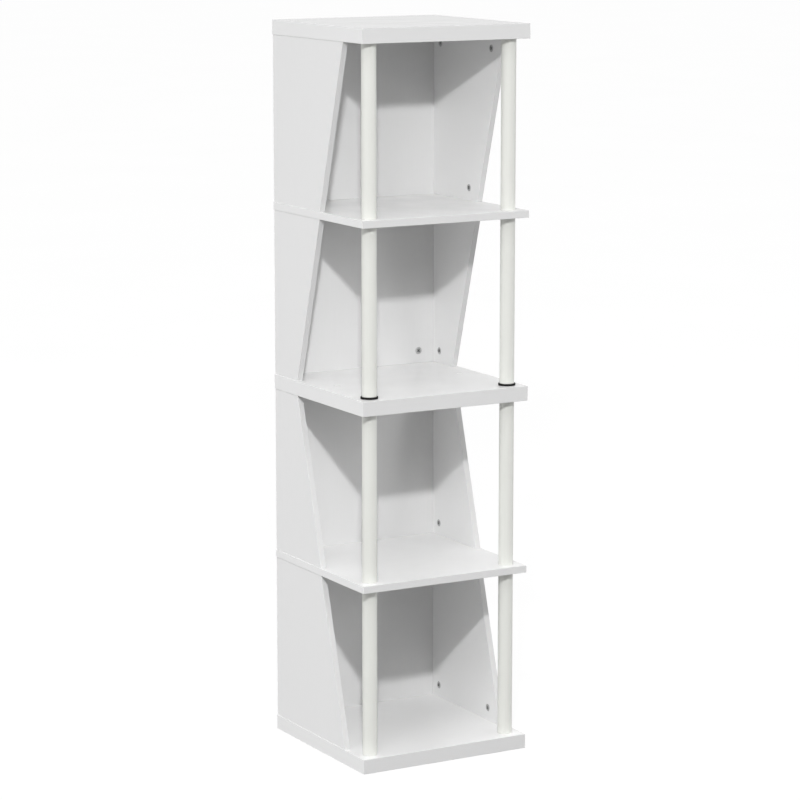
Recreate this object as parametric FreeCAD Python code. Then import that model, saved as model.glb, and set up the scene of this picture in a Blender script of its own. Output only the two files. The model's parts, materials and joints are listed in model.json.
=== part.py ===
import FreeCAD, Part
import os
from collections import namedtuple

# Tall four-bay shelf tower. Millimetres. X to the right, Y to the back, Z up.
# The origin is the centre of the bottom panel's underside, on the floor.
Vector = FreeCAD.Vector
X_AXIS = Vector(1, 0, 0)
Y_AXIS = Vector(0, 1, 0)
Z_AXIS = Vector(0, 0, 1)
SIDES = (("left", -1), ("right", 1))

# ---- boards ----
WIDTH = 381.0
DEPTH = 381.0
THICK_BOARD = 30.0
THIN_BOARD = 15.0
ARRIS = 0.5                 # rounding of every board and panel edge
BOARDS = (                  # from the floor up
    ("bottom_panel", THICK_BOARD),
    ("lower_shelf", THIN_BOARD),
    ("middle_panel", THICK_BOARD),
    ("upper_shelf", THIN_BOARD),
    ("top_panel", THICK_BOARD),
)
BACK_EDGE_Y = DEPTH / 2
FRONT_EDGE_Y = -DEPTH / 2

# ---- upright panels ----
BAY_HEIGHT = 343.0          # clear height between boards, and the length of a tube
PANEL = 12.0
PANEL_INSET = 1.0           # side panels stand this far inside the boards' edges
BACK_INSET = 10.0           # back panels stand this far in front of the boards' back edge
SIDE_OUTER_X = WIDTH / 2 - PANEL_INSET
SIDE_INNER_X = SIDE_OUTER_X - PANEL
SIDE_MID_X = SIDE_OUTER_X - PANEL / 2
BACK_INNER_Y = BACK_EDGE_Y - BACK_INSET - PANEL
BACK_MID_Y = BACK_INNER_Y + PANEL / 2

# Widths of a side panel's ends, measured from the boards' back edge.
WIDE = 300.0
MEDIUM = 200.0
NARROW = 100.0

# ---- front tubes ----
TUBE_OUTER_R = 15.0
TUBE_WALL = 1.6
TUBE_END_ROUND = 0.5
TUBE_INSET = 31.0           # tube axis to the boards' front and side edges
TUBE_INNER_R = TUBE_OUTER_R - TUBE_WALL
TUBE_X = WIDTH / 2 - TUBE_INSET
TUBE_Y = FRONT_EDGE_Y + TUBE_INSET
PLUG_LENGTH = 26.0
PLUG_CLEARANCE = 0.1        # all round, between plug and tube
PLUG_THREAD_DEPTH = 20.0
STUD_R = 4.0
STUD_BITE = 18.0            # stud length screwed into each plug
STUD_CLEARANCE = 0.1        # all round, in threaded holes
BOARD_HOLE_R = 4.5          # clearance hole through a board
INSERT_R = 6.0
INSERT_LENGTH = 16.0
INSERT_FLANGE_R = 8.0
INSERT_FLANGE = 1.2
COLLAR_OUTER_R = 17.7
COLLAR_INNER_R = 15.1
COLLAR_HEIGHT = 4.5
COLLAR_ROUND = 1.0
COLLAR_BAY = 2              # only the tubes that stand on the middle panel have collars

# ---- cam fittings ----
CAM_OFFSET = 26.0           # cam centre to the face of the board it pulls on
CAM_R = 7.4
CAM_DEPTH = 9.5
CAM_POCKET_R = 7.5
CAM_POCKET_DEPTH = 10.0
CAM_PLATE = 2.4             # solid face of the cam
CAM_CAVITY_R = 4.7
CAM_SLOT = 4.4              # height of the slot for the bolt's neck
CAM_EYE_R = 2.1             # round hole at the cross's centre, right through the face
CAM_CROSS_LENGTH = 8.0
CAM_CROSS_WIDTH = 1.7
CAM_CROSS_DEPTH = 1.8
CAM_RIM = 0.4               # chamfer round the face
BOLT_BORE_R = 3.5           # bore from the panel's edge to the cam pocket
BOLT_THREAD_R = 3.0
BOLT_THREAD = 10.0          # length screwed into the board
BOLT_SHANK_R = 2.9
BOLT_NECK_R = 1.8
BOLT_HEAD_R = 3.2
BOLT_HEAD = 3.0
BOLT_SHANK_TO_CAM = 8.5     # end of the shank to the cam's centre
BOLT_HEAD_TO_CAM = 2.0      # underside of the head to the cam's centre
HOLE_CLEARANCE = 0.1        # all round, for bolts and dowels in wood
HOLE_END_GAP = 1.0          # left beyond the end of a bolt, dowel or stud in a blind hole

# ---- dowels ----
DOWEL_R = 3.0
DOWEL_IN_BOARD = 8.0
DOWEL_IN_PANEL = 16.0
DOWEL_CHAMFER = 0.8

# ---- cover caps on the middle panel ----
CAP_X = 144.0
CAP_Y = 5.0
CAP_R = 6.5
CAP_THICK = 0.7
CAP_ROUND = 0.4
CAP_STEM_R = 3.9
CAP_STEM = 7.0
CAP_HOLE_R = 4.0
CAP_HOLE_DEPTH = 10.0

# Each bay's side panels and fittings. A bay is the space between two boards, bay 1 on top.
# Side fittings are distances from the boards' back edge, back fittings are distances from
# the centre line. "top" is the panel's upper edge, "bottom" its lower edge.
BayPlan = namedtuple("BayPlan", "top_width bottom_width side_cams side_dowels back_cams back_dowels")
BAY_PLANS = {
    1: BayPlan(WIDE, MEDIUM, {"top": (48, 252), "bottom": (166,)}, {"top": (150,), "bottom": (60,)},
               {"top": (), "bottom": ()}, {"top": (100,), "bottom": (100,)}),
    2: BayPlan(MEDIUM, NARROW, {"top": (), "bottom": (46,)}, {"top": (40, 145), "bottom": (76,)},
               {"top": (), "bottom": (141,)}, {"top": (120,), "bottom": (80,)}),
    3: BayPlan(NARROW, MEDIUM, {"top": (), "bottom": (46,)}, {"top": (30, 76), "bottom": (166,)},
               {"top": (), "bottom": ()}, {"top": (120,), "bottom": (100,)}),
    4: BayPlan(MEDIUM, WIDE, {"top": (), "bottom": (48, 252)}, {"top": (66, 145), "bottom": (150,)},
               {"top": (), "bottom": ()}, {"top": (120,), "bottom": (100,)}),
}
BAY_COUNT = len(BAY_PLANS)

# A place where a panel meets a board. point lies on the board's face in the panel's
# mid-plane, up points from the board into the panel, inward is the panel's inner side.
Site = namedtuple("Site", "point up inward")


# ---------------------------------------------------------------- basic shapes
def box(x_range, y_range, z_range):
    size = [high - low for low, high in (x_range, y_range, z_range)]
    return Part.makeBox(*size, Vector(x_range[0], y_range[0], z_range[0]))


def rod(radius, start, direction, length):
    return Part.makeCylinder(radius, length, start, direction)


def with_arris(shape, radius=ARRIS):
    return shape.makeFillet(radius, shape.Edges)


def edges_at_height(shape, z):
    return [edge for edge in shape.Edges
            if abs(edge.BoundBox.ZMin - z) < 1e-6 and abs(edge.BoundBox.ZMax - z) < 1e-6]


def export(name, shapes):
    """Writes one node; a list of several solids becomes one group."""
    shape = shapes[0] if len(shapes) == 1 else Part.makeCompound(shapes)
    if not shape.isValid():
        raise ValueError(name + " is not a valid solid")
    shape.exportStep("parts/" + name + ".step")
    print(f"{name:22s} {len(shape.Solids):2d} solid(s) {shape.Volume / 1000:10.2f} cm3")


# ---------------------------------------------------------------- levels
def board_levels():
    """Name -> (underside, top face) of every board, stacked from the floor."""
    levels = {}
    z = 0.0
    for name, thickness in BOARDS:
        levels[name] = (z, z + thickness)
        z += thickness + BAY_HEIGHT
    return levels


LEVELS = board_levels()


def board_under(bay):
    return BOARDS[BAY_COUNT - bay][0]


def board_over(bay):
    return BOARDS[BAY_COUNT - bay + 1][0]


def bay_floor(bay):
    return LEVELS[board_under(bay)][1]


def bay_ceiling(bay):
    return LEVELS[board_over(bay)][0]


# ---------------------------------------------------------------- where fittings go
def panel_sites(bay, side_plan, back_plan):
    """Every place of one kind of fitting in a bay's three upright panels."""
    sites = []
    for end, z, up in (("top", bay_ceiling(bay), -Z_AXIS), ("bottom", bay_floor(bay), Z_AXIS)):
        for _, sign in SIDES:
            for from_back in side_plan[end]:
                point = Vector(sign * SIDE_MID_X, BACK_EDGE_Y - from_back, z)
                sites.append(Site(point, up, -sign * X_AXIS))
            for from_centre in back_plan[end]:
                point = Vector(sign * from_centre, BACK_MID_Y, z)
                sites.append(Site(point, up, -Y_AXIS))
    return sites


def cam_sites(bay):
    plan = BAY_PLANS[bay]
    return panel_sites(bay, plan.side_cams, plan.back_cams)


def dowel_sites(bay):
    plan = BAY_PLANS[bay]
    return panel_sites(bay, plan.side_dowels, plan.back_dowels)


def cam_centre(site):
    return site.point + site.up * CAM_OFFSET


# ---------------------------------------------------------------- holes in the woodwork
def cam_holes(site):
    face = cam_centre(site) + site.inward * (PANEL / 2)
    thread_end = site.point - site.up * (BOLT_THREAD + HOLE_END_GAP)
    return [
        rod(CAM_POCKET_R, face, -site.inward, CAM_POCKET_DEPTH),
        rod(BOLT_BORE_R, site.point, site.up, CAM_OFFSET),
        rod(BOLT_THREAD_R + HOLE_CLEARANCE, thread_end, site.up, BOLT_THREAD + HOLE_END_GAP),
    ]


def dowel_hole(site):
    start = site.point - site.up * (DOWEL_IN_BOARD + HOLE_END_GAP)
    length = DOWEL_IN_BOARD + DOWEL_IN_PANEL + 2 * HOLE_END_GAP
    return rod(DOWEL_R + HOLE_CLEARANCE, start, site.up, length)


def tube_foot(sign, z):
    return Vector(sign * TUBE_X, TUBE_Y, z)


def insert_holes(sign, z, into_board):
    start = tube_foot(sign, z)
    return [
        rod(INSERT_R, start, into_board, INSERT_LENGTH),
        rod(INSERT_FLANGE_R, start, into_board, INSERT_FLANGE),
    ]


def tube_holes(name):
    """Holes for the tubes' studs in one board: inserts in the end boards, else right through."""
    low, high = LEVELS[name]
    holes = []
    for _, sign in SIDES:
        if name == "top_panel":
            holes += insert_holes(sign, low, Z_AXIS)
        elif name == "bottom_panel":
            holes += insert_holes(sign, high, -Z_AXIS)
        else:
            holes.append(rod(BOARD_HOLE_R, tube_foot(sign, low), Z_AXIS, high - low))
    return holes


def cap_centres():
    return [Vector(sign * CAP_X, CAP_Y, LEVELS["middle_panel"][1]) for _, sign in SIDES]


def panel_holes():
    holes = []
    for bay in BAY_PLANS:
        for site in cam_sites(bay):
            holes += cam_holes(site)
        for site in dowel_sites(bay):
            holes.append(dowel_hole(site))
    return holes


PANEL_HOLES = panel_holes()


def drilled(blank, extra_holes=()):
    """Cuts from a blank every hole that reaches it."""
    holes = [hole for hole in PANEL_HOLES if hole.BoundBox.intersect(blank.BoundBox)]
    holes += extra_holes
    return blank.cut(holes) if holes else blank


# ---------------------------------------------------------------- woodwork
def board(name):
    blank = with_arris(box((-WIDTH / 2, WIDTH / 2), (FRONT_EDGE_Y, BACK_EDGE_Y), LEVELS[name]))
    holes = tube_holes(name)
    if name == "middle_panel":
        holes += [rod(CAP_HOLE_R, centre, -Z_AXIS, CAP_HOLE_DEPTH) for centre in cap_centres()]
    return drilled(blank, holes)


def side_panel(bay, sign):
    """An upright with a slanted front edge, drilled for its fittings."""
    plan = BAY_PLANS[bay]
    low, high = bay_floor(bay), bay_ceiling(bay)
    back = BACK_EDGE_Y - PANEL_INSET
    x = SIDE_INNER_X if sign > 0 else -SIDE_OUTER_X
    outline = Part.makePolygon([
        Vector(x, back, low),
        Vector(x, BACK_EDGE_Y - plan.bottom_width, low),
        Vector(x, BACK_EDGE_Y - plan.top_width, high),
        Vector(x, back, high),
        Vector(x, back, low),
    ])
    blank = Part.Face(outline).extrude(X_AXIS * PANEL)
    return drilled(with_arris(blank))


def back_panel(bay):
    blank = box((-SIDE_INNER_X, SIDE_INNER_X),
                (BACK_INNER_Y, BACK_INNER_Y + PANEL),
                (bay_floor(bay), bay_ceiling(bay)))
    return drilled(with_arris(blank))


# ---------------------------------------------------------------- tubes and their fittings
def tube(bay, sign):
    low, high = bay_floor(bay), bay_ceiling(bay)
    outer = rod(TUBE_OUTER_R, tube_foot(sign, low), Z_AXIS, BAY_HEIGHT)
    ends = edges_at_height(outer, low) + edges_at_height(outer, high)
    outer = outer.makeFillet(TUBE_END_ROUND, ends)
    return outer.cut(rod(TUBE_INNER_R, tube_foot(sign, low), Z_AXIS, BAY_HEIGHT))


def tube_plug(sign, z, into_tube):
    """A plug flush with the tube's end, threaded for a stud."""
    end = tube_foot(sign, z)
    body = rod(TUBE_INNER_R - PLUG_CLEARANCE, end, into_tube, PLUG_LENGTH)
    return body.cut(rod(STUD_R + STUD_CLEARANCE, end, into_tube, PLUG_THREAD_DEPTH))


def bay_plugs(bay):
    plugs = []
    for _, sign in SIDES:
        plugs.append(tube_plug(sign, bay_floor(bay), Z_AXIS))
        plugs.append(tube_plug(sign, bay_ceiling(bay), -Z_AXIS))
    return plugs


def board_studs(name):
    """The pair of studs that hold the tubes to one board."""
    low, high = LEVELS[name]
    bottom = low - STUD_BITE
    top = high + STUD_BITE
    if name == "bottom_panel":
        bottom = high - INSERT_LENGTH + HOLE_END_GAP
    if name == "top_panel":
        top = low + INSERT_LENGTH - HOLE_END_GAP
    return [rod(STUD_R, tube_foot(sign, bottom), Z_AXIS, top - bottom) for _, sign in SIDES]


def insert_nuts(z, into_board):
    nuts = []
    for _, sign in SIDES:
        body, flange = insert_holes(sign, z, into_board)
        bore = rod(STUD_R + STUD_CLEARANCE, tube_foot(sign, z), into_board, INSERT_LENGTH)
        nuts.append(body.fuse(flange).removeSplitter().cut(bore))
    return nuts


def collar(sign):
    """A ring round a tube's foot, resting on the board."""
    foot = tube_foot(sign, bay_floor(COLLAR_BAY))
    disc = rod(COLLAR_OUTER_R, foot, Z_AXIS, COLLAR_HEIGHT)
    rims = edges_at_height(disc, foot.z) + edges_at_height(disc, foot.z + COLLAR_HEIGHT)
    return disc.makeFillet(COLLAR_ROUND, rims).cut(rod(COLLAR_INNER_R, foot, Z_AXIS, COLLAR_HEIGHT))


# ---------------------------------------------------------------- cams, bolts, dowels, caps
def bar_across(centre, along, axis, length, width, depth):
    """A straight groove of a cross: centred on a point, sunk against axis."""
    across = axis.cross(along)
    corner = centre - along * (length / 2) - across * (width / 2)
    outline = Part.makePolygon([
        corner,
        corner + along * length,
        corner + along * length + across * width,
        corner + across * width,
        corner,
    ])
    return Part.Face(outline).extrude(-axis * depth)


def cam(site):
    """A cam lock: a cup with a crossed recess in its face and a slot towards the bolt."""
    face = cam_centre(site) + site.inward * (PANEL / 2)
    body = rod(CAM_R, face, -site.inward, CAM_DEPTH)
    face_edges = [edge for edge in body.Edges if edge.CenterOfMass.isEqual(face, 1e-6)]
    body = body.makeChamfer(CAM_RIM, face_edges)
    eye = rod(CAM_EYE_R, face, -site.inward, CAM_PLATE)
    cavity_start = face - site.inward * CAM_PLATE
    cavity = rod(CAM_CAVITY_R, cavity_start, -site.inward, CAM_DEPTH - CAM_PLATE)
    slot_top = face - site.inward * (PANEL / 2 - CAM_SLOT / 2) - site.up * CAM_R
    slot = bar_across(slot_top, site.up, site.inward, 2 * CAM_R, 2 * CAM_R, CAM_SLOT)
    diagonal = (site.up + site.inward.cross(site.up)).normalize()
    other_diagonal = site.inward.cross(diagonal)
    cross = [bar_across(face, direction, site.inward, CAM_CROSS_LENGTH, CAM_CROSS_WIDTH, CAM_CROSS_DEPTH)
             for direction in (diagonal, other_diagonal)]
    return body.cut([eye, cavity, slot] + cross)


def cam_bolt(site):
    """A bolt screwed into the board, with its neck and head held in the cam."""
    thread = rod(BOLT_THREAD_R, site.point - site.up * BOLT_THREAD, site.up, BOLT_THREAD)
    shank = rod(BOLT_SHANK_R, site.point, site.up, CAM_OFFSET - BOLT_SHANK_TO_CAM)
    neck_start = site.point + site.up * (CAM_OFFSET - BOLT_SHANK_TO_CAM)
    neck = rod(BOLT_NECK_R, neck_start, site.up, BOLT_SHANK_TO_CAM - BOLT_HEAD_TO_CAM)
    head = rod(BOLT_HEAD_R, cam_centre(site) - site.up * BOLT_HEAD_TO_CAM, site.up, BOLT_HEAD)
    return thread.fuse([shank, neck, head]).removeSplitter()


def dowel(site):
    start = site.point - site.up * DOWEL_IN_BOARD
    pin = rod(DOWEL_R, start, site.up, DOWEL_IN_BOARD + DOWEL_IN_PANEL)
    ends = [edge for edge in pin.Edges if isinstance(edge.Curve, Part.Circle)]
    return pin.makeChamfer(DOWEL_CHAMFER, ends)


def cover_cap(centre):
    disc = rod(CAP_R, centre, Z_AXIS, CAP_THICK)
    disc = disc.makeFillet(CAP_ROUND, edges_at_height(disc, centre.z + CAP_THICK))
    return disc.fuse(rod(CAP_STEM_R, centre, -Z_AXIS, CAP_STEM))


# ---------------------------------------------------------------- build
os.makedirs("parts", exist_ok=True)

for board_name, _ in BOARDS:
    export(board_name, [board(board_name)])
    export(board_name + "_studs", board_studs(board_name))

for bay_number in BAY_PLANS:
    suffix = f"_{bay_number}"
    export("back_panel" + suffix, [back_panel(bay_number)])
    for side_name, side_sign in SIDES:
        export(side_name + "_side_panel" + suffix, [side_panel(bay_number, side_sign)])
        export(side_name + "_tube" + suffix, [tube(bay_number, side_sign)])
    export("tube_plugs" + suffix, bay_plugs(bay_number))
    export("cam_locks" + suffix, [cam(site) for site in cam_sites(bay_number)])
    export("cam_bolts" + suffix, [cam_bolt(site) for site in cam_sites(bay_number)])
    export("dowels" + suffix, [dowel(site) for site in dowel_sites(bay_number)])

export("top_panel_inserts", insert_nuts(LEVELS["top_panel"][0], Z_AXIS))
export("bottom_panel_inserts", insert_nuts(LEVELS["bottom_panel"][1], -Z_AXIS))
for side_name, side_sign in SIDES:
    export(side_name + "_collar", [collar(side_sign)])
export("cover_caps", [cover_cap(centre) for centre in cap_centres()])
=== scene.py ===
import json
import math

import bpy
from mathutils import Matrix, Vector

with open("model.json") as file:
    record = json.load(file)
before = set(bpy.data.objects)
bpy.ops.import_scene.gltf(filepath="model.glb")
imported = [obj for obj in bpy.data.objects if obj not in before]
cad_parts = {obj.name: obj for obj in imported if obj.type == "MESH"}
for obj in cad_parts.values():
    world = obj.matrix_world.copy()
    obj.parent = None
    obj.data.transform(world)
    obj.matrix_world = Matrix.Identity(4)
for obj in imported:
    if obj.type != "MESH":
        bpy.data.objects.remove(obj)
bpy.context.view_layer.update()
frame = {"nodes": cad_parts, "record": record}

MM = 0.001
SLOT_OF = {part["node"]: part["material_slot"] for part in frame["record"]["subparts"]}

# ---- camera: in front and to the left, a little above the top board's height ----
CAMERA_PLACE = (-3.012, -5.329, 1.814)
CAMERA_TURN = 29.48         # degrees to the right of straight back
CAMERA_PITCH = 10.14        # degrees down
CAMERA_LENS = 136.26        # mm
CAMERA_SENSOR = 36.0        # mm across
CAMERA_SEES_TO = 200.0      # metres

# ---- lights: name, place, width across, strength; all aimed at the object's middle ----
AIM = (0.0, 0.0, 0.75)
LIGHTS = (
    ("key", (-1.670, -2.913, 2.646), 0.14, 5.21),
    ("key_glow", (-1.670, -2.913, 2.646), 1.0, 0.70),
    ("high_softbox", (-2.8, -3.2, 5.5), 2.4, 1.41),
    ("left_softbox", (-6.0, 0.6, 2.2), 3.6, 0.43),
    ("right_softbox", (5.0, -5.5, 2.6), 3.2, 1.85),
    ("rear_softbox", (2.5, 2.5, 1.7), 2.0, 0.57),
    ("back_softbox", (0.3, 5.0, 1.1), 1.0, 2.40),
)
BEHIND = 1.5                # lamps further back aren't mirrored, or the shelves would glare

# ---- the room: how bright it is for each kind of ray ----
SIDE_GLOW = 0.96            # soft light, strongest from the two sides
ZENITH_GLOW = 2.41          # and from straight overhead
ZENITH_FOCUS = 8.0          # how fast the overhead glow fades towards the horizon, as a power
MIRRORED_GLOW = 0.72        # what shiny surfaces mirror
BACKDROP = 1.0              # what the camera sees beyond the floor

# ---- floor: a wide white sheet, bright of itself, that takes only faint shadows ----
FLOOR_HALF = 60.0           # metres
FLOOR_OWN_LIGHT = 0.93
FLOOR_REFLECTS = 0.07
FLOOR_CLOUDS = 0.05         # how far its tone wanders, as a share

# ---- boards and panels: foil on the faces, a plastic band round the edges ----
WHITE_FOIL = (0.823, 0.813)         # light and dark grey of the printed grain
# painted shade: the back panels' foil is greyer, for the dimmer light on walls that face the front
FOIL_WITH_PAINTED_SHADE = (0.708, 0.698)
GRAIN_ALONG = 24.0                  # features per metre
GRAIN_ACROSS = 620.0
SEAM_TONE = 0.72
EDGE_DULLER = 0.22                  # added to the foil's roughness on the edges

# The parts of a board are told apart by how squarely they face along its thickness:
# 1 on the faces, 0 on the edges, and all between on the rounding that joins them.
BAND_AT = 0.72              # foil above this and band below it
BAND_FADE = 0.02            # on either side
SEAM_FULL = 0.02            # the hairline is full this near BAND_AT
SEAM_GONE = 0.09
DULL_BELOW = 0.85
SATIN_ABOVE = 0.99

# ---- plastic ----
TUBE_DARK = (0.720, 0.727, 0.690)
TUBE_LIGHT = (0.735, 0.742, 0.704)
CREAM = (0.80, 0.80, 0.77)
LIGHT_CREAM = (0.84, 0.84, 0.81)

# ---- beech dowels ----
BEECH_DARK = (0.58, 0.40, 0.23)
BEECH_LIGHT = (0.76, 0.58, 0.39)
BEECH_FLECK = (0.36, 0.22, 0.12)

# ---- painted shade in the recesses of the metal fittings ----
RECESS_SHADE_TONE = 0.02
RECESS_SHADE_REACH = 3 * MM        # recesses narrower than this are painted darker, as shade

NOISE_ROUGHNESS = 0.55      # of every cloudy texture


# ---------------------------------------------------------------- shader nodes
def grey(value):
    return (value, value, value)


def math_node(tree, operation, *values):
    """A Math node's result. Each value is a number or the socket that feeds it."""
    node = tree.nodes.new("ShaderNodeMath")
    node.operation = operation
    for socket, value in zip(node.inputs, values):
        if isinstance(value, (int, float)):
            socket.default_value = value
        else:
            tree.links.new(value, socket)
    return node.outputs["Value"]


class Paint:
    """One node material, with short calls that add and join its nodes."""

    def __init__(self, name):
        self.material = bpy.data.materials.new(name)
        self.material.use_nodes = True
        self.tree = self.material.node_tree
        self.shader = self.tree.nodes["Principled BSDF"]
        self.place = self.add("ShaderNodeTexCoord").outputs["Object"]

    def add(self, kind, **settings):
        node = self.tree.nodes.new(kind)
        for key, value in settings.items():
            setattr(node, key, value)
        return node

    def join(self, source, socket):
        self.tree.links.new(source, socket)

    def set(self, name, value):
        self.shader.inputs[name].default_value = value

    def finish(self, colour, roughness, normal):
        """Joins the three to the shader and returns the material."""
        sources = {"Base Color": colour, "Roughness": roughness, "Normal": normal}
        for name, source in sources.items():
            self.join(source, self.shader.inputs[name])
        return self.material

    def noise(self, scale, detail=3.0):
        """Cloudy values about 0.5. scale is features per metre, one number or X, Y and Z."""
        mapping = self.add("ShaderNodeMapping")
        mapping.inputs["Scale"].default_value = scale if isinstance(scale, tuple) else (scale,) * 3
        self.join(self.place, mapping.inputs["Vector"])
        node = self.add("ShaderNodeTexNoise")
        node.inputs["Scale"].default_value = 1.0
        node.inputs["Detail"].default_value = detail
        node.inputs["Roughness"].default_value = NOISE_ROUGHNESS
        self.join(mapping.outputs["Vector"], node.inputs["Vector"])
        return node.outputs["Fac"]

    def math(self, operation, *values):
        return math_node(self.tree, operation, *values)

    def spread(self, value, low=0.0, high=1.0, from_low=0.3, from_high=0.7):
        """Maps a range, that of cloudy values unless given, onto low to high, and stops there."""
        node = self.add("ShaderNodeMapRange")
        self.join(value, node.inputs["Value"])
        for name, number in (("From Min", from_low), ("From Max", from_high),
                             ("To Min", low), ("To Max", high)):
            node.inputs[name].default_value = number
        return node.outputs["Result"]

    def blend(self, factor, first, second):
        """Mixes two colours; each is an RGB triple or a socket."""
        node = self.add("ShaderNodeMix", data_type="RGBA")
        self.join(factor, node.inputs["Factor"])
        for name, value in (("A", first), ("B", second)):
            socket = next(s for s in node.inputs if s.name == name and s.type == "RGBA")
            if isinstance(value, tuple):
                socket.default_value = (*value, 1.0)
            else:
                self.join(value, socket)
        return next(s for s in node.outputs if s.type == "RGBA")

    def bump(self, height, distance, under=None):
        node = self.add("ShaderNodeBump")
        node.inputs["Distance"].default_value = distance
        node.inputs["Strength"].default_value = 1.0
        self.join(height, node.inputs["Height"])
        if under is not None:
            self.join(under, node.inputs["Normal"])
        return node.outputs["Normal"]

    def painted_recess_shade(self, unshaded, full_below, none_above):
        """A colour darkened in recesses as painted shade, by how open they are: 0 is shut in and 1
        is open.
        """
        node = self.add("ShaderNodeAmbientOcclusion", samples=8)
        node.inputs["Distance"].default_value = RECESS_SHADE_REACH
        is_open = self.spread(node.outputs["AO"], 0.0, 1.0, full_below, none_above)
        return self.blend(is_open, grey(RECESS_SHADE_TONE), unshaded)

    def facing(self, axis):
        """1 where the surface faces along the axis, either way, and 0 where it is square to it."""
        geometry = self.add("ShaderNodeNewGeometry")
        split = self.add("ShaderNodeSeparateXYZ")
        self.join(geometry.outputs["Normal"], split.inputs["Vector"])
        return self.math("ABSOLUTE", split.outputs[axis])


# ---------------------------------------------------------------- materials
def melamine(name, face_axis, grain_axis, foil, side_band, shaded_front_band):
    """White foil on the board's faces, a plastic band round its edges and a hairline between. The
    band is darker on edges facing front and back, as painted shade.
    """
    light, dark = foil
    paint = Paint(name)
    facing = paint.facing(face_axis)
    turn = (BAND_AT - BAND_FADE, BAND_AT + BAND_FADE)
    is_face = paint.spread(facing, 0.0, 1.0, *turn)
    is_shaded_front_band = paint.spread(paint.facing("Y"), 0.0, 1.0, *turn)
    grain_scale = tuple(GRAIN_ALONG if axis == grain_axis else GRAIN_ACROSS for axis in "XYZ")
    grain = paint.noise(grain_scale, detail=4.0)
    printed = paint.blend(paint.spread(grain), grey(dark), grey(light))
    # painted shade: edges facing front and back take the darker band tone
    band = paint.blend(is_shaded_front_band, grey(side_band), grey(shaded_front_band))
    whole = paint.blend(is_face, band, printed)
    off_seam = paint.math("ABSOLUTE", paint.math("SUBTRACT", facing, BAND_AT))
    seam = paint.spread(off_seam, 1.0, 0.0, SEAM_FULL, SEAM_GONE)
    satin = paint.spread(paint.noise(9.0, detail=2.0), 0.18, 0.24)
    duller_edge = paint.spread(facing, EDGE_DULLER, 0.0, DULL_BELOW, SATIN_ABOVE)
    pores = paint.bump(paint.noise(1500.0, detail=2.0), 0.012 * MM)
    return paint.finish(
        colour=paint.blend(seam, whole, grey(SEAM_TONE)),
        roughness=paint.math("ADD", satin, duller_edge),
        normal=paint.bump(grain, 0.01 * MM, under=pores),
    )


def tube_plastic():
    """Extruded off-white plastic: faint streaks along the tube, satin."""
    paint = Paint("tube_plastic")
    streaks = paint.noise((520.0, 520.0, 7.0))
    clouds = paint.noise((30.0, 30.0, 12.0), detail=2.0)
    return paint.finish(
        colour=paint.blend(paint.spread(streaks), TUBE_DARK, TUBE_LIGHT),
        roughness=paint.spread(clouds, 0.30, 0.40),
        normal=paint.bump(streaks, 0.03 * MM),
    )


def moulded_plastic(name, dark, light, roughness, gloss=0.5):
    """A moulded part with a fine spark-eroded texture."""
    paint = Paint(name)
    paint.set("Specular IOR Level", gloss)
    clouds = paint.noise(90.0, detail=2.0)
    return paint.finish(
        colour=paint.blend(paint.spread(clouds), dark, light),
        roughness=paint.spread(clouds, roughness - 0.05, roughness + 0.05),
        normal=paint.bump(paint.noise(2200.0, detail=2.0), 0.02 * MM),
    )


def cast_zinc():
    """Tumbled die-cast zinc: dull grey with darker blotches, and painted shade in the recess."""
    paint = Paint("cast_zinc")
    paint.set("Metallic", 0.6)
    blotches = paint.noise(420.0, detail=4.0)
    unshaded = paint.blend(paint.spread(blotches), grey(0.38), grey(0.54))
    return paint.finish(
        colour=paint.painted_recess_shade(unshaded, 0.30, 0.85),
        roughness=paint.spread(blotches, 0.42, 0.58),
        normal=paint.bump(paint.noise(2600.0, detail=2.0), 0.03 * MM),
    )


def turned_steel():
    """Zinc-plated steel with fine turning marks round the shank, painted darker as shade where it
    is enclosed.
    """
    paint = Paint("turned_steel")
    paint.set("Metallic", 1.0)
    marks = paint.noise((300.0, 300.0, 3200.0), detail=2.0)
    unshaded = paint.blend(paint.spread(marks), grey(0.60), grey(0.70))
    return paint.finish(
        colour=paint.painted_recess_shade(unshaded, 0.40, 0.95),
        roughness=paint.spread(marks, 0.26, 0.38),
        normal=paint.bump(marks, 0.02 * MM),
    )


def beech():
    """Beech dowel: pale brown grain along the pin with short dark flecks."""
    paint = Paint("beech")
    grain = paint.noise((900.0, 900.0, 60.0), detail=4.0)
    flecks = paint.noise((2400.0, 2400.0, 420.0), detail=1.0)
    wood = paint.blend(paint.spread(grain), BEECH_DARK, BEECH_LIGHT)
    return paint.finish(
        colour=paint.blend(paint.spread(flecks, 0.0, 0.6, 0.58, 0.66), wood, BEECH_FLECK),
        roughness=paint.spread(grain, 0.55, 0.70),
        normal=paint.bump(grain, 0.05 * MM),
    )


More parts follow.
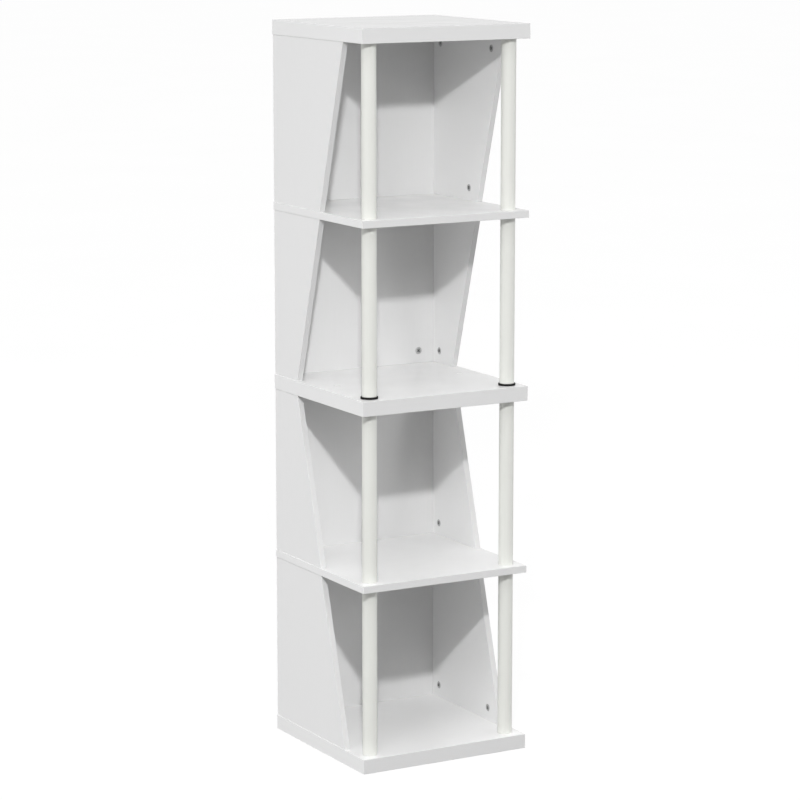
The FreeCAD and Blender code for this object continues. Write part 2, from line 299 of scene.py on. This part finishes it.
def paint_nodes():
    """Gives every CAD node its material. Boards and panels differ in which way their faces look."""
    by_slot = {
        "tube_plastic": tube_plastic(),
        "plug_plastic": moulded_plastic("plug_plastic", CREAM, LIGHT_CREAM, 0.42),
        "cap_plastic": moulded_plastic("cap_plastic", grey(0.66), grey(0.69), 0.40),
        "black_plastic": moulded_plastic("black_plastic", grey(0.004), grey(0.008), 0.60, 0.15),
        "zinc": cast_zinc(),
        "steel": turned_steel(),
        "beech": beech(),
    }
    # painted shade: the front bands are set darker than the side bands
    boards = melamine("foil_on_boards", "Z", "X", WHITE_FOIL, side_band=0.84, shaded_front_band=0.69)
    sides = melamine("foil_on_side_panels", "X", "Z", WHITE_FOIL, side_band=0.81, shaded_front_band=0.63)
    # painted shade: the back panels take the greyer foil
    backs = melamine("foil_on_back_panels", "Y", "Z", FOIL_WITH_PAINTED_SHADE, side_band=0.70, shaded_front_band=0.70)
    for name, node in frame["nodes"].items():
        if "side_panel" in name:
            material = sides
        elif "back_panel" in name:
            material = backs
        else:
            material = by_slot.get(SLOT_OF[name], boards)
        node.data.materials.clear()
        node.data.materials.append(material)


# ---------------------------------------------------------------- studio
def make_floor():
    mesh = bpy.data.meshes.new("floor")
    half = FLOOR_HALF
    corners = [(-half, -half, 0), (half, -half, 0), (half, half, 0), (-half, half, 0)]
    mesh.from_pydata(corners, [], [(0, 1, 2, 3)])
    floor = bpy.data.objects.new("floor", mesh)
    bpy.context.scene.collection.objects.link(floor)
    floor.visible_diffuse = False       # make_world's glow stands for the light it would send up
    floor.visible_shadow = False
    paint = Paint("floor_paper")
    clouds = paint.spread(paint.noise(1.2, detail=2.0))
    low = grey((1.0 - FLOOR_CLOUDS) * FLOOR_REFLECTS)
    high = grey((1.0 + FLOOR_CLOUDS) * FLOOR_REFLECTS)
    paint.join(paint.blend(clouds, low, high), paint.shader.inputs["Base Color"])
    paint.set("Roughness", 0.9)
    paint.set("Specular IOR Level", 0.0)
    paint.set("Emission Color", (*grey(1.0), 1.0))
    paint.set("Emission Strength", FLOOR_OWN_LIGHT)
    mesh.materials.append(paint.material)


def make_world():
    """Light from both sides and from overhead, but even when mirrored or seen by the camera."""
    world = bpy.data.worlds.new("studio")
    bpy.context.scene.world = world
    world.use_nodes = True
    tree = world.node_tree
    background = tree.nodes["Background"]
    background.inputs["Color"].default_value = (*grey(1.0), 1.0)

    direction = tree.nodes.new("ShaderNodeTexCoord")
    split = tree.nodes.new("ShaderNodeSeparateXYZ")
    tree.links.new(direction.outputs["Generated"], split.inputs["Vector"])
    sideness = math_node(tree, "MULTIPLY", split.outputs["X"], split.outputs["X"])
    upness = math_node(tree, "MAXIMUM", split.outputs["Z"], 0.0)
    overhead = math_node(tree, "POWER", upness, ZENITH_FOCUS)
    from_sides = math_node(tree, "MULTIPLY", sideness, SIDE_GLOW)
    from_above = math_node(tree, "MULTIPLY", overhead, ZENITH_GLOW)
    strength = math_node(tree, "ADD", from_sides, from_above)
    path = tree.nodes.new("ShaderNodeLightPath")
    for ray_kind, seen in (("Is Glossy Ray", MIRRORED_GLOW), ("Is Camera Ray", BACKDROP)):
        mix = tree.nodes.new("ShaderNodeMix")
        tree.links.new(path.outputs[ray_kind], mix.inputs["Factor"])
        tree.links.new(strength, mix.inputs["A"])
        mix.inputs["B"].default_value = seen
        strength = mix.outputs["Result"]
    tree.links.new(strength, background.inputs["Strength"])


def make_light(name, place, width, strength):
    """A round area light that doesn't fall off with distance, as from a lamp far away."""
    lamp = bpy.data.lights.new(name, "AREA")
    lamp.shape = "DISK"
    lamp.size = width
    lamp.energy = 1.0
    lamp.use_nodes = True
    tree = lamp.node_tree
    falloff = tree.nodes.new("ShaderNodeLightFalloff")
    falloff.inputs["Strength"].default_value = strength
    tree.links.new(falloff.outputs["Constant"], tree.nodes["Emission"].inputs["Strength"])
    light = bpy.data.objects.new(name, lamp)
    light.location = place
    light.rotation_euler = (Vector(AIM) - Vector(place)).to_track_quat("-Z", "Y").to_euler()
    light.visible_camera = False
    light.visible_glossy = place[1] < BEHIND
    bpy.context.scene.collection.objects.link(light)


def make_camera():
    data = bpy.data.cameras.new("camera")
    data.sensor_width = CAMERA_SENSOR
    data.lens = CAMERA_LENS
    data.clip_end = CAMERA_SEES_TO
    camera = bpy.data.objects.new("camera", data)
    camera.location = CAMERA_PLACE
    tilt = math.radians(90.0 - CAMERA_PITCH)
    camera.rotation_euler = (tilt, 0.0, math.radians(-CAMERA_TURN))
    bpy.context.scene.collection.objects.link(camera)
    bpy.context.scene.camera = camera


make_camera()
paint_nodes()
make_floor()
make_world()
for light_values in LIGHTS:
    make_light(*light_values)
bpy.context.scene.view_settings.view_transform = "Standard"
